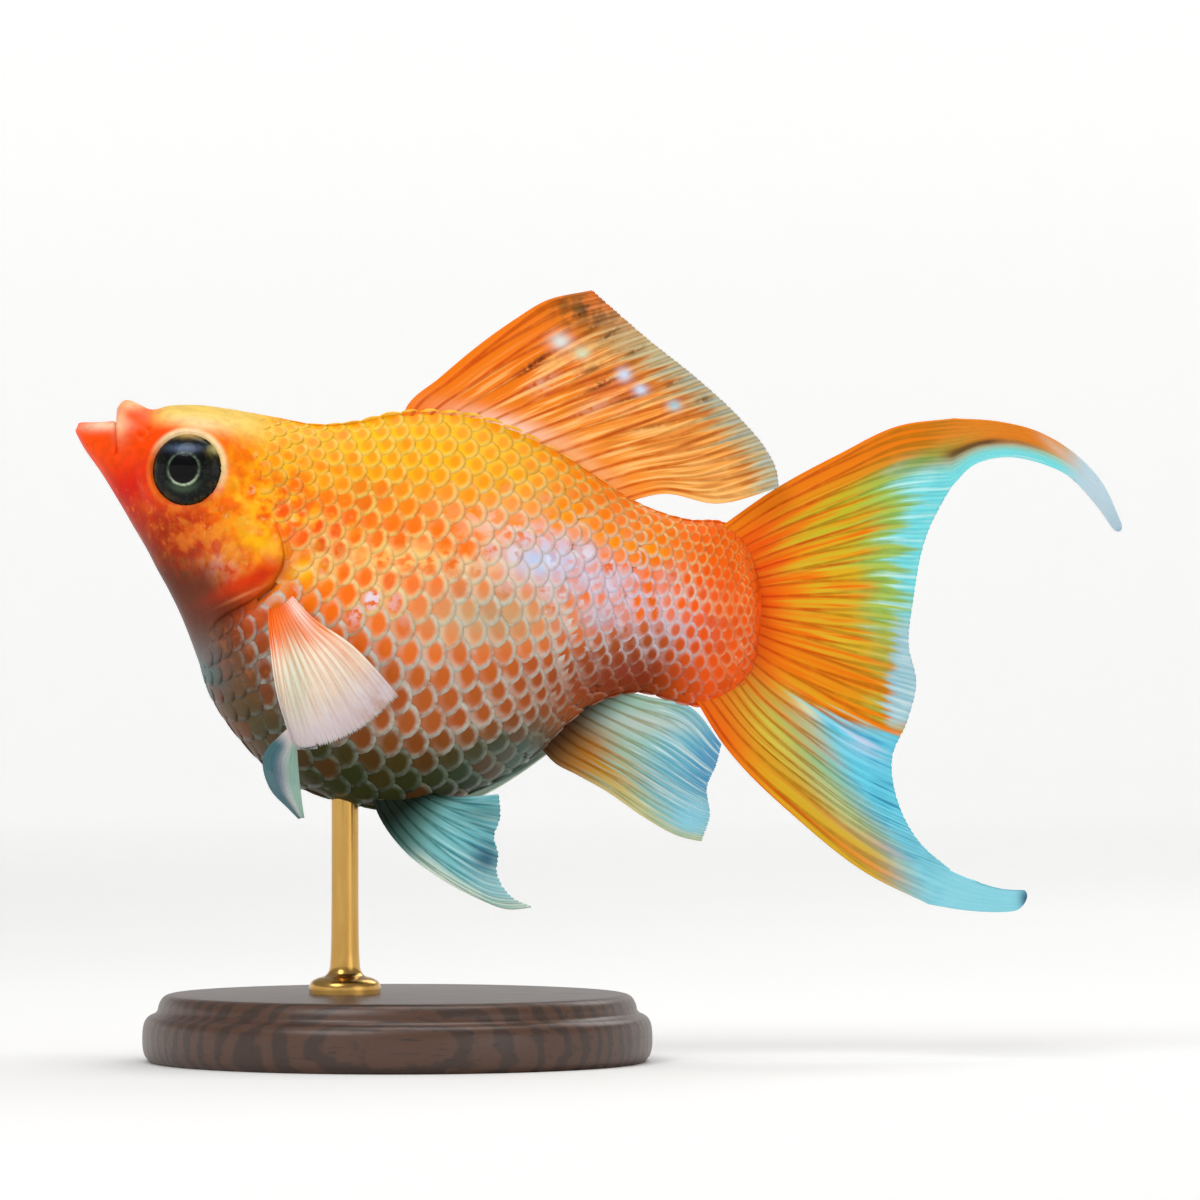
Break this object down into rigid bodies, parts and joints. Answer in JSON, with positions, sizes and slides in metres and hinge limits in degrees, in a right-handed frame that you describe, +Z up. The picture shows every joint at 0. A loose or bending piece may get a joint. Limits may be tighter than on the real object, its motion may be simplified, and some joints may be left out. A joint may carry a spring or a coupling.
{
  "type": "balloon lyretail molly on a display stand",
  "caption": "Still model of a deep-bellied golden orange molly with a lyre-shaped tail and turquoise fin edges, held swimming above a round wooden base by a brass rod.",
  "frame": {"origin": "centre of the whole part's bounding box in plan, at the height of the base's underside", "axes": "+X towards the tail, so the fish looks along -X; +Y towards the fish's right side; +Z up"},
  "size_m": [0.07, 0.034, 0.0513],
  "materials": {
    "skin_gold": "wet scaled skin, golden orange with pale scale edges",
    "skin_face": "wet bare skin, orange to red",
    "eye": "clear wet eye, nearly black, with a thin pale ring round the pupil",
    "fin_orange": "thin orange membrane over branched rays",
    "fin_blue": "thin turquoise membrane over branched rays",
    "fin_white": "thin pale membrane over branched rays",
    "walnut": "satin dark walnut",
    "brass": "polished brass"
  },
  "bodies": {
    "root": {"lower_jaw": "skin_face", "head": "skin_face", "torso": "skin_gold", "tail_stalk": "skin_gold", "eye_left": "eye", "eye_right": "eye", "dorsal_fin": "fin_orange", "anal_fin": "fin_blue", "pelvic_fin_left": "fin_blue", "pelvic_fin_right": "fin_blue", "pectoral_fin_left": "fin_white", "pectoral_fin_right": "fin_white", "tail_fin_upper": "fin_orange", "tail_fin_middle": "fin_orange", "tail_fin_lower": "fin_blue", "tail_streamer_upper": "fin_orange", "tail_streamer_tip": "fin_white", "tail_streamer_lower": "fin_blue", "stand_base": "walnut", "stand_rod": "brass"}
  },
  "joints": []
}
